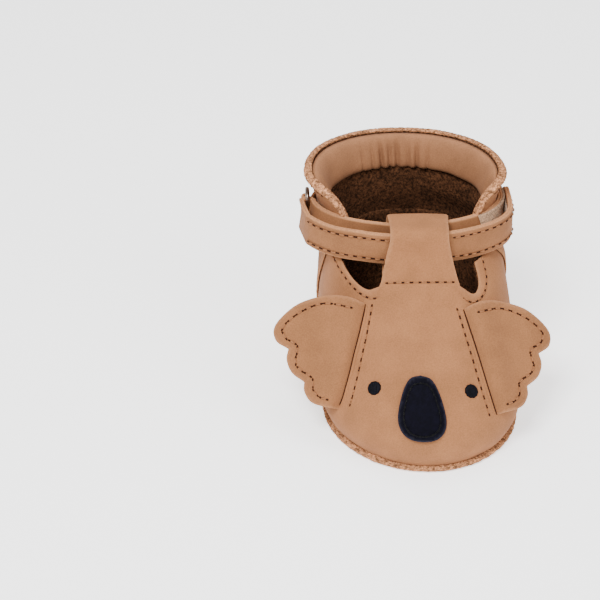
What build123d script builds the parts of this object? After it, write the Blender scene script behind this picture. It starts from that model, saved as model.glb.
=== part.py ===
from build123d import *

# Soft leather baby bootie for a left foot, with an animal face on the toe and an ankle strap that
# runs through a ring and fastens with a hook-and-loop patch. The toe points along -Y, the wearer's
# left, which is the outer side of the foot, is +X, and the ground is Z = 0. The upper is cut from
# closed skins that follow one smooth last, each at a fixed distance from the last's surface.

import math
import os

os.makedirs("parts", exist_ok=True)

# ---------------------------------------------------------------- driving dimensions, mm
SOLE_THICKNESS = 2.6
SOLE_MARGIN = 1.4  # how far the rough sole edge stands out past the foot of the upper
PADDING_THICKNESS = 2.0
INSOLE_THICKNESS = 1.4
LEATHER = 1.2
LINING = 1.0
FACING_DEPTH = 2.6  # the soft facing inside the top of the collar
TOE_SWING = 0.042  # sideways drift of the last towards the outer side, per mm forward

# The last at rising heights: height, toe y, heel y, half width, y of the widest place,
# toe fullness, heel fullness, sideways shift. A fullness of 2 is an ellipse; more is squarer.
LAST = (
    (0.0, -57.5, 56.0, 34.0, -20.0, 2.0, 2.5, 1.0),
    (8.0, -60.0, 59.0, 37.5, -20.0, 2.0, 2.5, 1.1),
    (16.0, -58.5, 59.5, 38.0, -12.0, 2.1, 2.5, 1.2),
    (24.0, -51.5, 59.0, 37.3, -2.0, 2.2, 2.4, 1.3),
    (32.0, -42.5, 57.5, 36.3, 8.0, 2.2, 2.3, 1.5),
    (40.0, -32.0, 56.0, 35.4, 15.0, 2.2, 2.2, 1.6),
    (48.0, -21.5, 54.5, 34.4, 20.0, 2.15, 2.2, 1.3),
    (56.0, -10.5, 53.5, 32.6, 23.0, 2.0, 2.1, -0.8),
    (64.0, 0.0, 54.0, 32.6, 25.0, 1.9, 2.1, -0.6),
    (72.0, 2.5, 56.0, 34.2, 26.0, 1.9, 2.1, -0.9),
    (80.0, 3.5, 59.0, 38.2, 27.0, 1.9, 2.1, -1.3),
)
LOFT_HEIGHTS = (SOLE_THICKNESS, 6, 11, 16, 22, 28, 34, 40, 46, 52, 58, 64, 70, 75, 80)
OUTLINE_POINTS = 28

# Side view of the upper's cuts, as (y, z)
QUARTER_FRONT = ((27, -1), (24, 18), (19, 34), (13.5, 46), (9.5, 56), (9.5, 62), (11, 69), (13.5, 74))
RIM = ((18, 76.6), (28, 77.8), (44, 78.1), (66, 77.8))
LAP = 7.0  # how far the quarter overlaps the vamp
WING_TOP = 55.5  # top edge of the vamp beside the strap
COUNTER_TOP = ((35, -1), (36.5, 20), (43, 36), (51, 44), (66, 46.5))
LINING_TOP = 47.5  # the vamp's lining stops below the tongue's root
FACING_LOW, FACING_HIGH, FACING_FRONT = 64.0, 76.4, 22.0
ELASTIC_LOW, ELASTIC_HIGH, ELASTIC_FRONT = 67.0, 73.5, 32.0

# Open notches beside the tongue: inner x at the top, x and z of the lowest point, outer x at the top
NOTCHES = {-1: (13.2, 19.4, 50.2, 27.6), 1: (14.6, 21.2, 49.0, 25.2)}

# The tongue is folded over the strap and sewn down in front of its own root, as (y, z)
TONGUE_LOOP = (
    (-14.6, 53.0), (-6.1, 58.0), (-6.1, 69.6), (-4.1, 71.6), (6.3, 71.6), (8.3, 69.6), (8.3, 55.4),
    (-5.5, 51.0), (-15.8, 48.4),
)
TONGUE_NECK, TONGUE_TOP = (13.7, 56.0), (10.8, 71.8)  # half width, height

STRAP_LAYER = 1.0
STRAP_LOW, STRAP_HIGH = 56.0, 68.8
# Plan of each run of the strap: middle x, half width, y of the widest place, front y, rear reach
INNER_RUN = (-1.8, 35.9, 25.0, 3.5, 31.0)
OUTER_RUN = (-2.0, 39.3, 17.0, -3.6, 90.0)
INNER_RUN_FULLNESS_LOW, INNER_RUN_FULLNESS_HIGH = 4.0, 2.0
STRAP_START, STRAP_TIP = 16.0, 10.3  # angles behind the outer side where the two ends lie
PEEL_ANGLE, PEEL_GAP = -62.0, 0.35
FASTENER_THICKNESS = 0.35

RING_WIRE = 1.6
RING_X, RING_FRONT, RING_REAR = -39.7, 22.0, 28.8
RING_LOW, RING_HIGH, RING_CORNER = 54.4, 70.6, 2.4
RING_CLEARANCE = 0.5

FACE_SHIFT = -3.3  # the face sits towards the inner side of the toe's middle
TONGUE_SHIFT = -1.2  # and the tongue a little less so
SLIT_TOP, SLIT_BOTTOM = (18.0, 46.2), (29.0, 15.7)  # x from the middle of the face, z
SLIT_WIDTH = 0.5
EAR_OUTLINE = (
    ((0.4, 0.8), (-1.0, 7), (0.8, 16), (6.6, 26), (15.6, 32), (21.2, 30.4), (23.2, 24.6)),
    ((23.2, 24.6), (27.4, 24.2), (31.4, 21), (33.6, 15.2)),
    ((33.6, 15.2), (37.4, 14), (40.6, 9.6), (40.4, 0.8)),
)  # three lobes, as (down the slit, outwards)
EAR_LAYER = 0.9
EAR_CLEARANCE = 0.7
EAR_TURN = {-1: 4.0, 1: -2.0}  # degrees forward of level

NOSE_OUTLINE = ((0, 32.8), (5.4, 28.6), (8.5, 20.6), (6.6, 15.4), (0, 13.6))  # half, (x, z)
EYE_SIDE, EYE_HEIGHT, EYE_RADIUS, EYE_RISE = 18.2, 26.6, 2.7, 0.6

STITCH_LENGTH, STITCH_PITCH, THREAD_RADIUS, THREAD_GAP = 2.2, 3.3, 0.28, 0.12
SLIT_INSET = 2.8  # from a slit to the row of stitches beside it
COLLAR_ROW = 74.8
EAR_ROW = (
    (2.4, 5), (3.8, 15), (9, 23.6), (15.6, 28.8), (19.4, 27), (21.6, 22), (27.2, 21), (29.6, 18.4),
    (31.4, 13), (35.6, 11.2), (37.4, 8), (37.5, 5),
)  # (down the slit, outwards)


# ---------------------------------------------------------------- the last
def last_row(z):
    """The last's outline numbers at height z, smoothly interpolated between the rows of LAST."""
    z = min(max(z, LAST[0][0]), LAST[-1][0])
    i = max(k for k in range(len(LAST) - 1) if LAST[k][0] <= z)

    def slope(k, column):
        before, after = LAST[max(k - 1, 0)], LAST[min(k + 1, len(LAST) - 1)]
        return (after[column] - before[column]) / (after[0] - before[0])

    step = LAST[i + 1][0] - LAST[i][0]
    t = (z - LAST[i][0]) / step
    return [
        (2 * t**3 - 3 * t**2 + 1) * LAST[i][column]
        + (t**3 - 2 * t**2 + t) * step * slope(i, column)
        + (3 * t**2 - 2 * t**3) * LAST[i + 1][column]
        + (t**3 - t**2) * step * slope(i + 1, column)
        for column in range(1, len(LAST[0]))
    ]


def rounded(cosine, fullness):
    return math.copysign(abs(cosine) ** (2 / fullness), cosine)


def on_outline(angle, z):
    """Point of the last's plan outline at height z; angle 90 is the heel, -90 the toe."""
    toe, heel, half_width, widest, toe_fullness, heel_fullness, shift = last_row(z)
    c, s = math.cos(math.radians(angle)), math.sin(math.radians(angle))
    fullness, reach = (toe_fullness, widest - toe) if s < 0 else (heel_fullness, heel - widest)
    y = widest + reach * rounded(s, fullness)
    return Vector(half_width * rounded(c, fullness) + shift - TOE_SWING * y, y, z)


def on_last(angle, z, out=0.0):
    """Point at a distance out from the last's surface, and the surface's outward normal there."""
    along = on_outline(angle + 0.5, z) - on_outline(angle - 0.5, z)
    up = on_outline(angle, z + 0.3) - on_outline(angle, z - 0.3)
    normal = along.cross(up).normalized()
    return on_outline(angle, z) + normal * out, normal


def front_angle(x, z):
    """Angle on the toe side where the outline at height z is x from the middle of the face."""
    row = last_row(z)
    share = min(1.0, abs(x) / row[2])
    return -math.degrees(math.acos(math.copysign(share ** (row[4] / 2), x)))


def on_face(x, z, out=0.0, shift=FACE_SHIFT):
    """Point on the face, x from the face's own middle line; shift is that line's place on the toe."""
    return on_last(front_angle(x + shift, z), z, out)


def skin_outline(z, out):
    """Plan outline of the skin that lies out from the last, measured square to its surface."""
    points = []
    for k in range(OUTLINE_POINTS):
        point, normal = on_last(90 + 360 * (k + 0.5) / OUTLINE_POINTS, z)
        level = math.hypot(normal.X, normal.Y)
        points.append((point.X + out * normal.X / level**2, point.Y + out * normal.Y / level**2))
    return points


def skin(out):
    """Solid form of the last, grown by out."""
    with BuildPart() as form:
        for height in LOFT_HEIGHTS:
            with BuildSketch(Plane.XY.offset(height)):
                with BuildLine():
                    Spline(*skin_outline(height, out), periodic=True)
                make_face()
        loft()
    return form.part


def side_prism(*outline, half_width=70):
    """Solid that a side-view outline cuts through the whole width."""
    with BuildPart() as prism:
        with BuildSketch(Plane.YZ):
            with BuildLine():
                Polyline(*outline, close=True)
            make_face()
        extrude(amount=half_width, both=True)
    return prism.part


def curved_side_prism(curve, *corners):
    """Like side_prism, with a smooth curve as the outline's first side."""
    with BuildPart() as prism:
        with BuildSketch(Plane.YZ):
            with BuildLine():
                Spline(*curve)
                Polyline(curve[-1], *corners, curve[0])
            make_face()
        extrude(amount=70, both=True)
    return prism.part


def save(block, name):
    block.part.label = name
    export_step(block.part, f"parts/{name}.step")


last_skin = skin(0)
outer_skin = skin(LEATHER)
vamp_inside = skin(-LEATHER)
lining_inside = skin(-LEATHER - LINING)
facing_inside = skin(-LEATHER - FACING_DEPTH)

# ---------------------------------------------------------------- sole
with BuildPart() as outsole:
    with BuildSketch():
        with BuildLine():
            Spline(*skin_outline(0, SOLE_MARGIN), periodic=True)
        make_face()
    extrude(amount=SOLE_THICKNESS)
    chamfer(outsole.edges().group_by(Axis.Z)[0], 0.5)
save(outsole, "outsole")


def footbed(bottom, thickness):
    """Flat layer inside the foot of the upper."""
    with BuildPart() as layer:
        with BuildSketch(Plane.XY.offset(bottom)):
            with BuildLine():
                Spline(*skin_outline(SOLE_THICKNESS, -LEATHER - LINING - 0.3), periodic=True)
            make_face()
        extrude(amount=thickness)
    return layer


save(footbed(SOLE_THICKNESS, PADDING_THICKNESS), "sole_padding")
save(footbed(SOLE_THICKNESS + PADDING_THICKNESS, INSOLE_THICKNESS), "insole")


# ---------------------------------------------------------------- vamp, with the tongue
def notch(side, margin=0.0):
    """Prism of the open notch between the tongue and the wing of the vamp."""
    inner, bottom, low, outer = NOTCHES[side]
    inner, low, outer = inner - margin, low - margin, outer + margin
    with BuildPart() as prism:
        with BuildSketch(Plane.XZ):
            with BuildLine():
                Polyline((side * inner, 58), (side * inner, 90), (side * outer, 90), (side * outer, 58))
                Spline(
                    (side * outer, 58), (side * (0.35 * bottom + 0.65 * outer), low + 1.8),
                    (side * bottom, low), (side * (0.5 * bottom + 0.5 * inner), low + 1.6),
                    (side * inner, 58),
                )
            make_face()
        extrude(amount=60)
    return prism.part


def in_front_of_quarter(rear_shift, top):
    """Everything forward of the line rear_shift behind the quarter's front edge, and below top."""
    edge = [(y + rear_shift, z) for y, z in QUARTER_FRONT if z < top]
    return side_prism(*edge, (edge[-1][0], top), (-80, top), (-80, -1))


def slit_ends(side):
    return [on_face(side * x, z)[0] for x, z in (SLIT_TOP, SLIT_BOTTOM)]


def ear_frame(side):
    """The slit's top, its direction, the ear's reach and the ear's front-facing normal."""
    top, bottom = slit_ends(side)
    down = (bottom - top).normalized()
    level = Vector(-down.Y * side, down.X * side, 0).normalized()
    facing = down.cross(level).normalized() * side
    turn = math.radians(EAR_TURN[side])
    reach = level * math.cos(turn) + facing * math.sin(turn)
    return top, down, reach, down.cross(reach).normalized() * side


def slit_cut(side):
    top, down, _, facing = ear_frame(side)
    length = (slit_ends(side)[1] - top).length
    with BuildPart() as cut:
        with BuildSketch(Plane(top + down * length / 2, x_dir=down, z_dir=facing)):
            Rectangle(length, 16)
        extrude(amount=SLIT_WIDTH / 2, both=True)
    return cut.part


tongue_root = TONGUE_LOOP[0][1] + 1.2

with BuildPart() as tongue:
    with BuildSketch(Plane.YZ):
        with BuildLine():
            FilletPolyline(*TONGUE_LOOP, radius=1.3, close=True)
        make_face()
        offset(amount=-LEATHER, mode=Mode.SUBTRACT)
    extrude(amount=TONGUE_NECK[0], both=True)
    with BuildSketch(Plane.XZ):
        with BuildLine():
            Polyline(
                (-TONGUE_NECK[0], 40), (-TONGUE_NECK[0], TONGUE_NECK[1]), (-TONGUE_TOP[0], TONGUE_TOP[1]),
                (TONGUE_TOP[0], TONGUE_TOP[1]), (TONGUE_NECK[0], TONGUE_NECK[1]), (TONGUE_NECK[0], 40),
                close=True,
            )
        make_face()
    extrude(amount=40, both=True, mode=Mode.INTERSECT)

with BuildPart() as vamp:
    add(last_skin)
    add(vamp_inside, mode=Mode.SUBTRACT)
    add(in_front_of_quarter(LAP, WING_TOP), mode=Mode.INTERSECT)
    with BuildSketch(Plane.XZ.offset(-5)):
        with Locations((0, tongue_root + 10)):
            Rectangle(2 * NOTCHES[1][0] + 2, 20)
    extrude(amount=60, mode=Mode.SUBTRACT)
    for side in (-1, 1):
        add(notch(side), mode=Mode.SUBTRACT)
        add(slit_cut(side), mode=Mode.SUBTRACT)
    add(tongue.part)
save(vamp, "vamp")

with BuildPart() as vamp_lining:
    add(vamp_inside)
    add(lining_inside, mode=Mode.SUBTRACT)
    add(in_front_of_quarter(LAP, WING_TOP - 0.8), mode=Mode.INTERSECT)
    with BuildSketch(Plane.XZ.offset(-5)):
        with Locations((0, LINING_TOP + 15)):
            Rectangle(2 * NOTCHES[1][0] + 4, 30)
    extrude(amount=60, mode=Mode.SUBTRACT)
    for side in (-1, 1):
        add(notch(side, margin=0.8), mode=Mode.SUBTRACT)
save(vamp_lining, "vamp_lining")

# ---------------------------------------------------------------- quarter and what lines it
quarter_edge = (*QUARTER_FRONT, *RIM)

with BuildPart() as quarter:
    add(outer_skin)
    add(last_skin, mode=Mode.SUBTRACT)
    add(curved_side_prism(quarter_edge, (80, RIM[-1][1]), (80, -1)), mode=Mode.INTERSECT)
save(quarter, "quarter")

with BuildPart() as quarter_lining:
    add(last_skin)
    add(vamp_inside, mode=Mode.SUBTRACT)
    add(curved_side_prism(quarter_edge, (80, RIM[-1][1]), (80, -1)), mode=Mode.INTERSECT)
    add(in_front_of_quarter(LAP + 0.1, WING_TOP + 0.2), mode=Mode.SUBTRACT)
save(quarter_lining, "quarter_lining")

with BuildPart() as heel_counter:
    add(vamp_inside)
    add(lining_inside, mode=Mode.SUBTRACT)
    add(curved_side_prism(COUNTER_TOP, (80, COUNTER_TOP[-1][1]), (80, -1)), mode=Mode.INTERSECT)
save(heel_counter, "heel_counter")


def band(front, low, high):
    """Side view of a band round the back of the collar."""
    return side_prism((front, low), (front, high), (80, high), (80, low))


def elastic_band(margin):
    """The elastic's space, with a margin round it."""
    with BuildPart() as strip:
        add(vamp_inside)
        add(lining_inside, mode=Mode.SUBTRACT)
        low, high = ELASTIC_LOW - margin, ELASTIC_HIGH + margin
        add(band(ELASTIC_FRONT - margin, low, high), mode=Mode.INTERSECT)
    return strip


pocket = elastic_band(0.4).part
save(elastic_band(0), "collar_elastic")

with BuildPart() as collar_facing:
    add(vamp_inside)
    add(facing_inside, mode=Mode.SUBTRACT)
    add(band(FACING_FRONT, FACING_LOW, FACING_HIGH), mode=Mode.INTERSECT)
    add(pocket, mode=Mode.SUBTRACT)
save(collar_facing, "collar_facing")


# ---------------------------------------------------------------- strap
def on_run(run, angle, fullness=2.0):
    """Plan point of the middle of the strap's thickness; angle 0 is the outer side, -90 the front."""
    middle, half_width, widest, front, rear_reach = run
    c, s = math.cos(math.radians(angle)), math.sin(math.radians(angle))
    reach = widest - front if s < 0 else rear_reach
    return Vector(middle + half_width * rounded(c, fullness), widest + reach * rounded(s, fullness))


def along_run(run, angle, fullness=2.0):
    """Plan direction of the strap at an angle, towards falling angles."""
    return on_run(run, angle - 1, fullness) - on_run(run, angle, fullness)


def run_line(points, **tangents):
    return Spline(*points, **tangents, mode=Mode.PRIVATE)


def run_stretch(run, angles, fullness=2.0):
    """Middle line of one stretch of a run, through the given falling or rising angles."""
    sense = math.copysign(1, angles[0] - angles[-1])
    ends = [along_run(run, angle, fullness) * sense for angle in (angles[0], angles[-1])]
    return run_line([on_run(run, angle, fullness) for angle in angles], tangents=ends)


def strap_lines(fullness):
    """Middle lines of the strap's fixed stretch: inner run, fold round the ring, outer run."""
    bend = STRAP_LAYER + RING_CLEARANCE + RING_WIRE / 2
    inner_end, outer_start = (RING_X + bend, RING_FRONT), (RING_X - bend, RING_FRONT)
    inner = [on_run(INNER_RUN, angle, fullness) for angle in (STRAP_START, 0, *range(-15, -170, -15))]
    outer = [on_run(OUTER_RUN, angle) for angle in (*range(-165, -70, 15), PEEL_ANGLE - PEEL_GAP)]
    start = along_run(INNER_RUN, STRAP_START, fullness)
    end = along_run(OUTER_RUN, PEEL_ANGLE) * -1
    return (
        run_line([*inner, inner_end], tangents=(start, (0, 1))),
        run_line([inner_end, (RING_X, RING_FRONT + bend), outer_start], tangents=((0, 1), (0, -1))),
        run_line([outer_start, *outer], tangents=((0, -1), end)),
    )


def patch_lines(fullness):
    """Middle line of the strap where the loop patch is sewn to it."""
    return (run_stretch(INNER_RUN, (12, 0, -15, -30, -45), fullness),)


def beside(line, amount, stations=33):
    """Points of a line moved sideways in plan, towards its left."""
    points = []
    for k in range(stations):
        direction = line % (k / (stations - 1))
        points.append(line @ (k / (stations - 1)) + Vector(-direction.Y, direction.X) * amount)
    return points


def draw_ribbon(lines, right, left):
    """Closed plan outline between two distances from a chain of lines."""
    with BuildLine() as outline:
        first = [beside(line, left) for line in lines]
        second = [beside(line, right) for line in lines]
        for points in first + second:
            Spline(*points)
        Line(first[-1][-1], second[-1][-1])
        Line(first[0][0], second[0][0])
    make_face(outline.edges())


def leaning_layer(lines_at, right, left):
    """Layer along lines whose inner run leans with the collar."""
    low_lines, high_lines = lines_at(INNER_RUN_FULLNESS_LOW), lines_at(INNER_RUN_FULLNESS_HIGH)
    with BuildPart() as layer:
        for height, lines in ((STRAP_LOW, low_lines), (STRAP_HIGH, high_lines)):
            with BuildSketch(Plane.XY.offset(height)):
                draw_ribbon(lines, right, left)
        loft()
    return layer


def upright_layer(line, right, left, margin=0.0):
    """Layer of one height along a line, set in from the strap's edges by margin."""
    with BuildPart() as layer:
        with BuildSketch(Plane.XY.offset(STRAP_LOW + margin)):
            draw_ribbon((line,), right, left)
        extrude(amount=STRAP_HIGH - STRAP_LOW - 2 * margin)
    return layer


free_end = run_stretch(OUTER_RUN, (PEEL_ANGLE + PEEL_GAP, -50, -38, -26, -14, -5, 0, 5, STRAP_TIP))
hooked = run_stretch(OUTER_RUN, (-30, -22, -14, -5, 0, 5, 9))
patch_near, patch_far = STRAP_LAYER + 0.08, STRAP_LAYER + FASTENER_THICKNESS

save(leaning_layer(strap_lines, -STRAP_LAYER, 0), "strap")
save(leaning_layer(strap_lines, 0, STRAP_LAYER), "strap_backing")
save(upright_layer(free_end, -STRAP_LAYER, 0), "strap_end")
save(upright_layer(free_end, 0, STRAP_LAYER), "strap_end_backing")
save(upright_layer(hooked, patch_near, patch_far, margin=2), "hook_patch")
save(leaning_layer(patch_lines, patch_near, patch_far), "loop_patch")

# ---------------------------------------------------------------- ring and its tab
with BuildPart() as ring:
    with BuildLine(Plane.YZ.offset(RING_X)) as ring_line:
        with Locations(((RING_FRONT + RING_REAR) / 2, (RING_LOW + RING_HIGH) / 2)):
            FilletPolyline(
                (RING_FRONT, RING_LOW), (RING_REAR, RING_LOW), (RING_REAR, RING_HIGH),
                (RING_FRONT, RING_HIGH), radius=RING_CORNER, close=True,
            )
    with BuildSketch(Plane(ring_line.wires()[0] @ 0, z_dir=ring_line.wires()[0] % 0)):
        Circle(RING_WIRE / 2)
    sweep(path=ring_line.wires()[0])
save(ring, "ring")

eyelet_inner = RING_WIRE / 2 + 0.4
eyelet_outer = eyelet_inner + STRAP_LAYER
tab_height = (STRAP_LOW + STRAP_HIGH) / 2
tab_start = (RING_X + 0.9, RING_REAR + eyelet_outer - STRAP_LAYER / 2)
tab_points = [on_last(angle, tab_height, LEATHER + 1.4)[0] for angle in (155, 148, 141, 134)]
tab_low, tab_high = tab_height - 4.2, tab_height + 4.2

tab_line = run_line([tab_start, *[(point.X, point.Y) for point in tab_points]])

with BuildPart() as ring_tab:
    with BuildSketch(Plane.XY.offset(tab_low)):
        with Locations((RING_X, RING_REAR)):
            Circle(eyelet_outer)
        with BuildLine():
            inside, outside = beside(tab_line, -STRAP_LAYER, 9), beside(tab_line, STRAP_LAYER, 9)
            Spline(*inside)
            Spline(*outside)
            Line(inside[0], outside[0])
            Line(inside[-1], outside[-1])
        make_face()
        with Locations((RING_X, RING_REAR)):
            Circle(eyelet_inner, mode=Mode.SUBTRACT)
    extrude(amount=tab_high - tab_low)
save(ring_tab, "ring_tab")

# ---------------------------------------------------------------- ears
clearance_skin = skin(EAR_CLEARANCE)


def ear_layer(side, near, far):
    """Layer of an ear between two distances in front of its middle plane."""
    top, down, reach, _ = ear_frame(side)
    plane = Plane(top, x_dir=down, z_dir=down.cross(reach))
    with BuildPart() as layer:
        with BuildSketch(plane.offset(side * near)):
            with BuildLine() as outline:
                for lobe in EAR_OUTLINE:
                    Spline(*lobe)
                Line(EAR_OUTLINE[-1][-1], EAR_OUTLINE[0][0])
            make_face(outline.edges())
        extrude(amount=side * (far - near))
        add(clearance_skin, mode=Mode.SUBTRACT)
    return layer


for side, name in ((1, "left_ear"), (-1, "right_ear")):
    save(ear_layer(side, 0, EAR_LAYER), name)
    save(ear_layer(side, -EAR_LAYER, 0), name + "_backing")

# ---------------------------------------------------------------- nose and eyes
nose_middle = on_face(0, (NOSE_OUTLINE[0][1] + NOSE_OUTLINE[-1][1]) / 2)[0].X

with BuildPart() as nose:
    add(outer_skin)
    add(last_skin, mode=Mode.SUBTRACT)
    with BuildSketch(Plane((nose_middle, 0, 0), x_dir=(1, 0, 0), z_dir=(0, -1, 0))):
        with BuildLine():
            Spline(*NOSE_OUTLINE, tangents=((1, 0), (-1, 0)))
            mirror(about=Plane.YZ)
        make_face()
    extrude(amount=70, mode=Mode.INTERSECT)
save(nose, "nose")

for side, name in ((1, "left_eye"), (-1, "right_eye")):
    place, outward = on_face(side * EYE_SIDE, EYE_HEIGHT)
    with BuildPart() as eye:
        with BuildSketch(Plane(place, z_dir=outward)):
            Circle(EYE_RADIUS)
        extrude(amount=EYE_RISE)
        fillet(eye.faces().sort_by(Axis(place, outward))[-1].edges(), 0.25)
    save(eye, name)

# ---------------------------------------------------------------- threads
lift = THREAD_RADIUS + THREAD_GAP


def row(path, pitch=STITCH_PITCH):
    """Start and end of each stitch along a row of closely spaced points."""
    travelled = [0.0]
    for before, after in zip(path, path[1:]):
        travelled.append(travelled[-1] + (after - before).length)

    def at(distance):
        k = max(i for i in range(len(path) - 1) if travelled[i] <= distance)
        share = (distance - travelled[k]) / (travelled[k + 1] - travelled[k])
        return path[k] + (path[k + 1] - path[k]) * share

    count = int(travelled[-1] / pitch)
    spare = (travelled[-1] - (count - 1) * pitch - STITCH_LENGTH) / 2
    starts = [spare + k * pitch for k in range(count)]
    return [(at(start), at(start + STITCH_LENGTH)) for start in starts]


def thread(name, *paths, pitch=STITCH_PITCH):
    """All the stitches of some rows, as one piece's thread."""
    with BuildPart() as stitches:
        for path in paths:
            for start, end in row(path, pitch):
                with Locations(Plane((start + end) / 2, z_dir=end - start)):
                    Cylinder(THREAD_RADIUS, STITCH_LENGTH)
    save(stitches, name)


def sampled(points, stations=60):
    curve = Spline(*points, mode=Mode.PRIVATE)
    return [curve @ (k / stations) for k in range(stations + 1)]


def face_row(points, out=0.0, shift=FACE_SHIFT):
    """Row sewn on the face of the vamp through some (x, z) points."""
    return [on_face(point.X, point.Y, out + lift, shift)[0] for point in sampled(points)]


def beside_slit(side):
    top, bottom = (SLIT_TOP[0] - SLIT_INSET, SLIT_TOP[1] - 1), (SLIT_BOTTOM[0] - SLIT_INSET, SLIT_BOTTOM[1])
    middle = ((top[0] + bottom[0]) / 2, (top[1] + bottom[1]) / 2)
    return face_row([(side * x, z) for x, z in (top, middle, bottom)])


def beside_notch(side):
    inner, bottom, low, outer = NOTCHES[side]
    points = ((outer + 1.4, low + 2.4), (0.35 * bottom + 0.65 * outer + 2, low - 1.0), (bottom, low - 2.5),
              (0.5 * (bottom + inner) - 1.5, low - 1.3))
    return face_row([(side * x, z) for x, z in points], shift=TONGUE_SHIFT)


def strap_row(height, angles):
    points = []
    for angle in angles:
        ahead = along_run(OUTER_RUN, angle).normalized()
        outside = on_run(OUTER_RUN, angle) - Vector(-ahead.Y, ahead.X) * -(STRAP_LAYER + lift)
        points.append(Vector(outside.X, outside.Y, height))
    return points


def ear_row(side):
    top, down, reach, facing = ear_frame(side)
    return [top + down * p.X + reach * p.Y + facing * (EAR_LAYER + lift) for p in sampled(EAR_ROW)]


thread("slit_stitches", *[beside_slit(side) for side in (-1, 1)])
thread("notch_stitches", *[beside_notch(side) for side in (-1, 1)], pitch=2.6)
tongue_row = [(x, TONGUE_LOOP[0][1] + 0.2) for x in (-12.4, 0, 12.4)]
thread("tongue_stitches", face_row(tongue_row, shift=TONGUE_SHIFT), pitch=2.8)
nose_half = [(x * 0.8, 22.5 + (z - 22.5) * 0.84) for x, z in NOSE_OUTLINE]
nose_rows = [face_row([(side * x, z) for x, z in nose_half], LEATHER) for side in (-1, 1)]
thread("nose_stitches", *nose_rows, pitch=2.5)
strap_heights = (STRAP_LOW + 2.1, STRAP_HIGH - 2.1)
thread("strap_stitches", *[strap_row(z, range(-160, int(PEEL_ANGLE), 2)) for z in strap_heights])
thread("strap_end_stitches", *[strap_row(z, range(int(PEEL_ANGLE) + 3, 9, 2)) for z in strap_heights])
thread("left_ear_stitches", ear_row(1))
thread("right_ear_stitches", ear_row(-1))
thread("collar_stitches", [on_last(a, COLLAR_ROW, LEATHER + lift)[0] for a in range(-28, 209, 3)])
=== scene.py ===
"""Baby bootie: leather panels cut from flat outlines and laid on one smooth last, sewn with real stitches.

Lengths in this script are millimetres, and MM turns them into metres. The toe points along -Y.
"""
import math
import random

import bmesh
import bpy
import numpy as np
from mathutils import Matrix, Vector, noise
from mathutils.geometry import delaunay_2d_cdt


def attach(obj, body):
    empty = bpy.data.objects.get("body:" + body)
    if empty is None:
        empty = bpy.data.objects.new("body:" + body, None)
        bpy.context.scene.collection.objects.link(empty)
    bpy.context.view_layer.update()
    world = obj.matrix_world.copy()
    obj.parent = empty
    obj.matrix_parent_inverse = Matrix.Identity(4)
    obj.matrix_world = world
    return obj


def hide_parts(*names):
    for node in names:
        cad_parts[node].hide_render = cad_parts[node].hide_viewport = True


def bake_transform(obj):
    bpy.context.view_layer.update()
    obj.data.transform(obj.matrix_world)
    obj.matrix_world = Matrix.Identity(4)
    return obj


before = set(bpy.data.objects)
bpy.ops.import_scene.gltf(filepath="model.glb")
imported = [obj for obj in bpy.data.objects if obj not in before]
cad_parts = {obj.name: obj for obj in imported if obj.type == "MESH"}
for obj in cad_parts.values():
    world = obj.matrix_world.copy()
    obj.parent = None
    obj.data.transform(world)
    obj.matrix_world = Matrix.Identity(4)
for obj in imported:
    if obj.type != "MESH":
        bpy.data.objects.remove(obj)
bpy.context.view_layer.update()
MM = 0.001
chance = random.Random(7)

# ---------- camera
CAMERA_DISTANCE, CAMERA_HEIGHT_ANGLE, CAMERA_TURN = 900.0, 34.0, -1.5
PIXELS_PER_MM, IMAGE_SIDE, SENSOR = 2.62, 600, 36.0
AIM = Vector((0, 0, 35))  # the point on the bootie that the camera is levelled at
AIM_OFFSET = Vector((43.13, 1.53))  # how far right of and below the frame's centre it shows


def make_camera():
    turn, height = math.radians(CAMERA_TURN), math.radians(CAMERA_HEIGHT_ANGLE)
    back = Vector((math.sin(turn) * math.cos(height), -math.cos(turn) * math.cos(height), math.sin(height)))
    right = Vector((math.cos(turn), math.sin(turn), 0))
    up = back.cross(right)
    place = AIM + CAMERA_DISTANCE * back - AIM_OFFSET.x * right + AIM_OFFSET.y * up
    data = bpy.data.cameras.new("camera")
    data.sensor_width = SENSOR
    data.lens = PIXELS_PER_MM * CAMERA_DISTANCE * SENSOR / IMAGE_SIDE
    data.clip_start, data.clip_end = 0.01, 20
    camera = bpy.data.objects.new("camera", data)
    camera.matrix_world = Matrix.Translation(place * MM) @ Matrix((right, up, back)).transposed().to_4x4()
    bpy.context.scene.collection.objects.link(camera)
    bpy.context.scene.camera = camera


make_camera()

# ---------- the last, as the CAD has it
# height, toe y, heel y, half width, y of the widest place, toe fullness, heel fullness, sideways shift
LAST = np.array([
    (0.0, -57.5, 56.0, 34.0, -20.0, 2.0, 2.5, 1.0),
    (8.0, -60.0, 59.0, 37.5, -20.0, 2.0, 2.5, 1.1),
    (16.0, -58.5, 59.5, 38.0, -12.0, 2.1, 2.5, 1.2),
    (24.0, -51.5, 59.0, 37.3, -2.0, 2.2, 2.4, 1.3),
    (32.0, -42.5, 57.5, 36.3, 8.0, 2.2, 2.3, 1.5),
    (40.0, -32.0, 56.0, 35.4, 15.0, 2.2, 2.2, 1.6),
    (48.0, -21.5, 54.5, 34.4, 20.0, 2.15, 2.2, 1.3),
    (56.0, -10.5, 53.5, 32.6, 23.0, 2.0, 2.1, -0.8),
    (64.0, 0.0, 54.0, 32.6, 25.0, 1.9, 2.1, -0.6),
    (72.0, 2.5, 56.0, 34.2, 26.0, 1.9, 2.1, -0.9),
    (80.0, 3.5, 59.0, 38.2, 27.0, 1.9, 2.1, -1.3),
])
TOE_SWING = 0.042
SOLE, LEATHER, LINING = 2.6, 1.2, 1.0
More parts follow.
